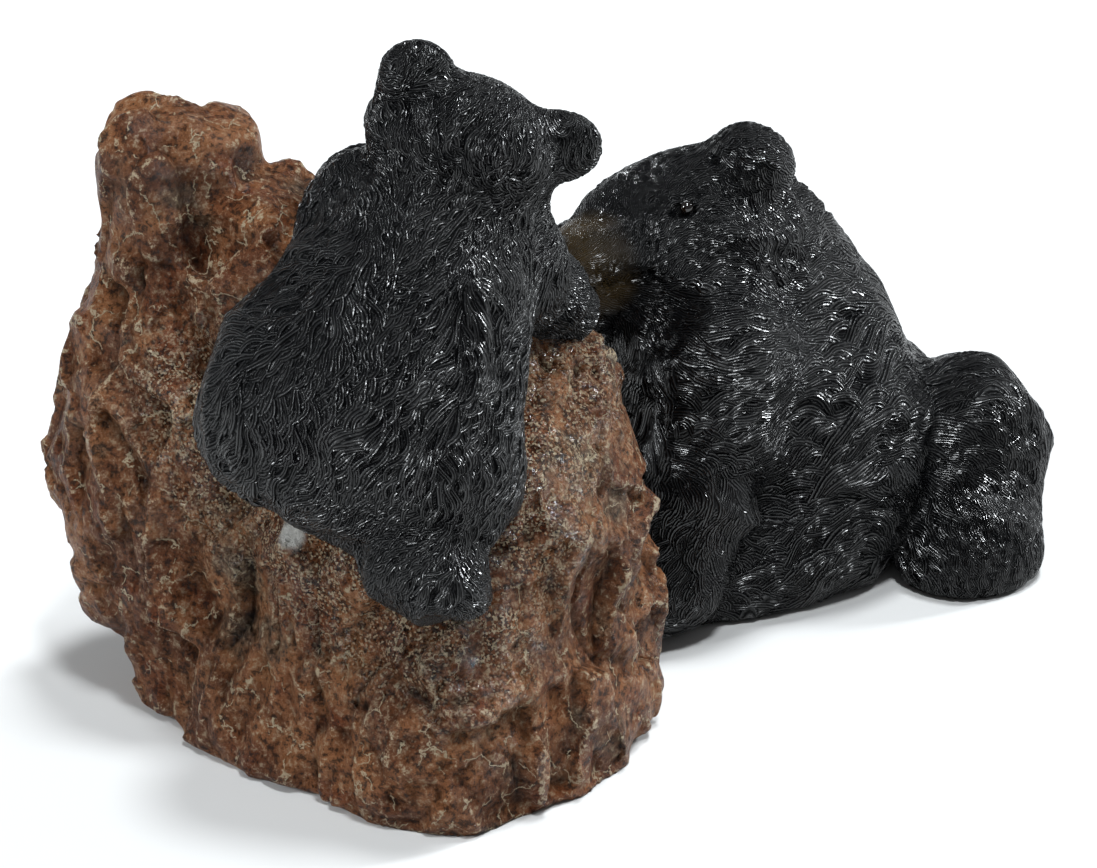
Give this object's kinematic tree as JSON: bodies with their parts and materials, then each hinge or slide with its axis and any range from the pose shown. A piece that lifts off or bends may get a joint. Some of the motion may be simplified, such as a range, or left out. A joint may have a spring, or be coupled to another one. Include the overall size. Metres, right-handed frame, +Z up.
{
  "type": "bear garden statue",
  "caption": "Cast resin garden statue of a mother bear lying against a boulder that her cub climbs, standing on its flat underside.",
  "frame": {"origin": "on the ground under the middle of the group's bounding box", "axes": "+Z up, +X from the mother's rump towards the boulder, the way she faces, front of the group towards -Y"},
  "size_m": [0.5319, 0.3162, 0.3717],
  "materials": {
    "rock_paint": "red-brown painted polyresin, dry-brushed cream on its ridges, with a patchy glaze",
    "black_fur_paint": "black painted polyresin, carved fur, semi-gloss"
  },
  "bodies": {
    "root": {"rock": "rock_paint", "mother_bear": "black_fur_paint", "cub": "black_fur_paint"}
  },
  "joints": []
}
